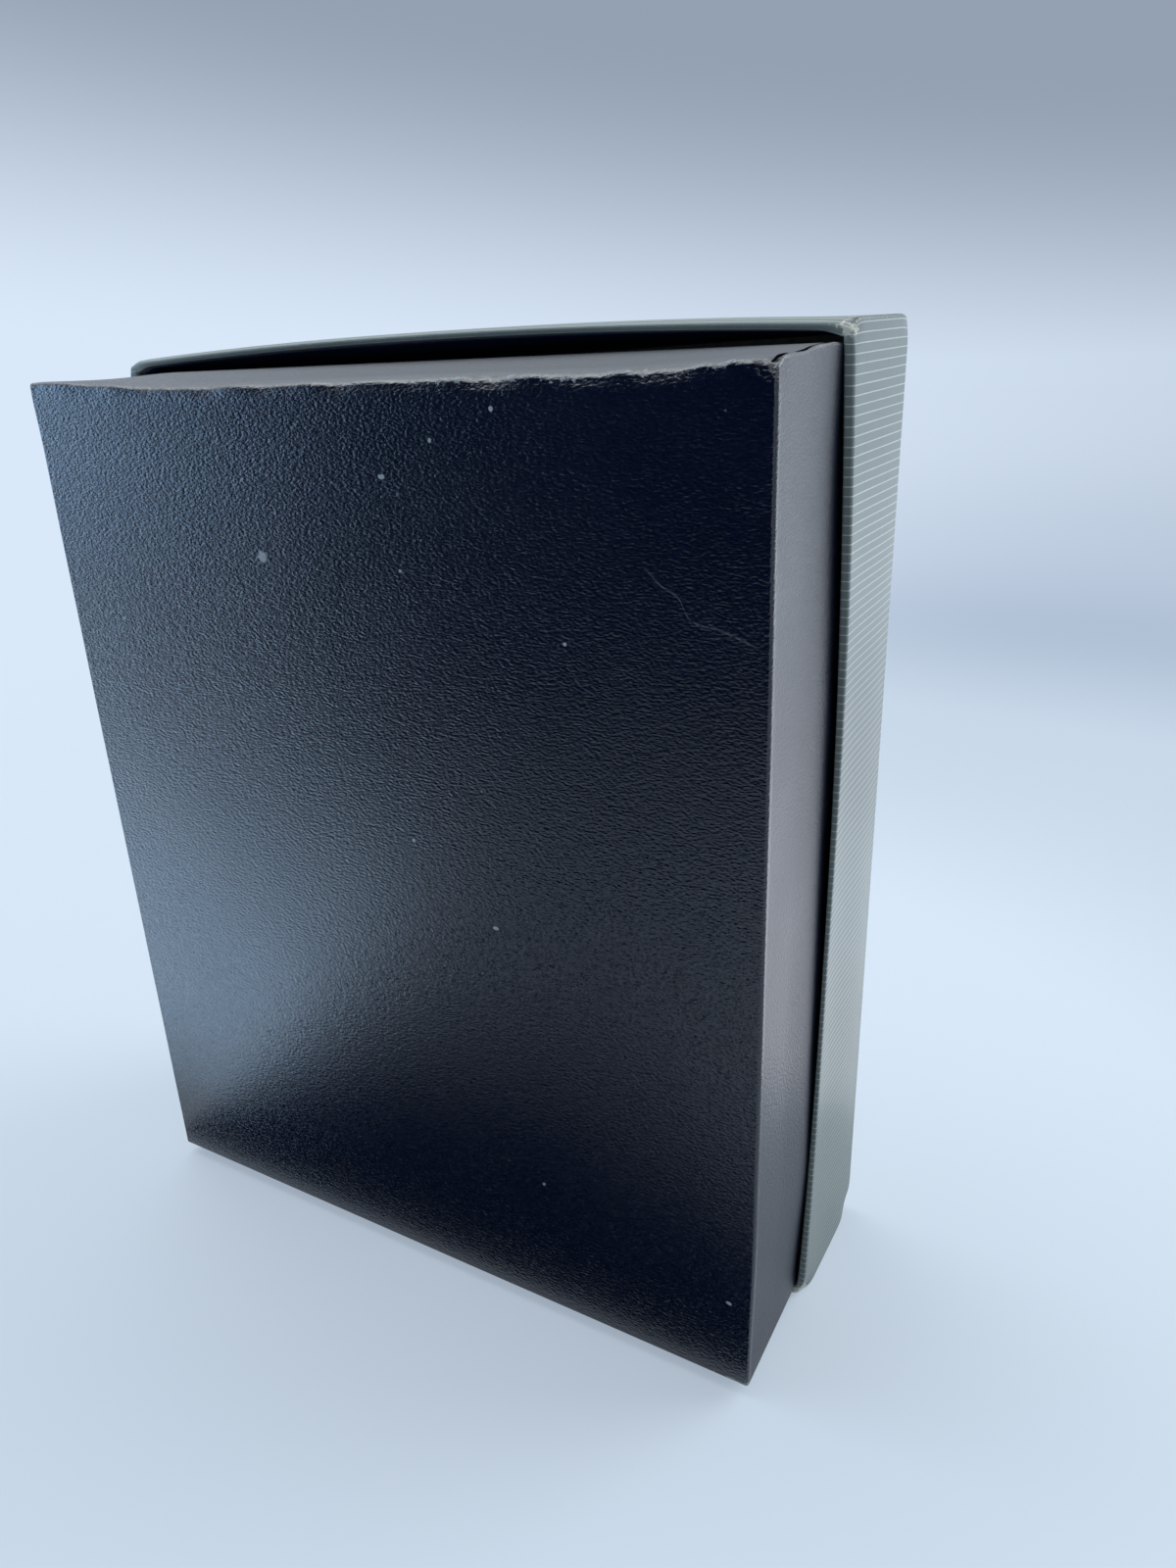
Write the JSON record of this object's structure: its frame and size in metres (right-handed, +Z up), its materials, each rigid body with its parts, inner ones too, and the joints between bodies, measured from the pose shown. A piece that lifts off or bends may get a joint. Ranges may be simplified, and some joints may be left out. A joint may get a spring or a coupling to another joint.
{
  "type": "watch box",
  "caption": "Two-piece watch box: a black leatherette-paper base in a loose pinstriped lift-off lid, with a velvet platform and a watch pillow inside.",
  "frame": {"origin": "middle of the box's footprint, on the surface that it stands on, with the lid closed", "axes": "+Z up, along the long side of the box; +Y from the base's bottom panel to the lid's top panel; +X to the right, seen facing the base's bottom panel"},
  "size_m": [0.1234, 0.044, 0.1442],
  "materials": {
    "leatherette_paper": "satin black embossed cover paper",
    "pinstripe_paper": "satin grey-green cover paper with fine pale stripes",
    "greyboard": "uncoated grey board",
    "tape_paper": "gummed kraft paper",
    "black_lining": "matt black lining paper",
    "card": "white-lined card",
    "velvet": "short cream pile",
    "satin": "cream satin",
    "foam": "open-cell foam",
    "ribbon": "woven satin ribbon"
  },
  "bodies": {
    "base": {"base_board": "greyboard", "base_corner_tapes": "tape_paper", "base_wrap": "leatherette_paper", "base_wall_lining": "black_lining", "base_floor_lining": "black_lining"},
    "insert": {"platform_card": "card", "platform_velvet": "velvet", "well_card": "card", "well_lining": "velvet", "upper_foam_block": "foam", "lower_foam_block": "foam", "lift_ribbon": "ribbon"},
    "pillow": {"pillow_foam": "foam", "pillow_cover": "velvet"},
    "lid": {"lid_board": "greyboard", "lid_corner_tapes": "tape_paper", "lid_wrap": "pinstripe_paper", "lid_wall_lining": "black_lining", "lid_pad_card": "card", "lid_pad_foam": "foam", "lid_pad_cover": "satin"}
  },
  "joints": [
    {"name": "insert_lift", "type": "slide", "parent": "base", "child": "insert", "axis": [0, 1, 0], "range_m": [0, 0.045]},
    {"name": "pillow_lift", "type": "slide", "parent": "insert", "child": "pillow", "axis": [0, 1, 0], "range_m": [0, 0.03]},
    {"name": "lid_lift", "type": "slide", "parent": "pillow", "child": "lid", "axis": [0, 1, 0], "range_m": [0, 0.07]}
  ]
}
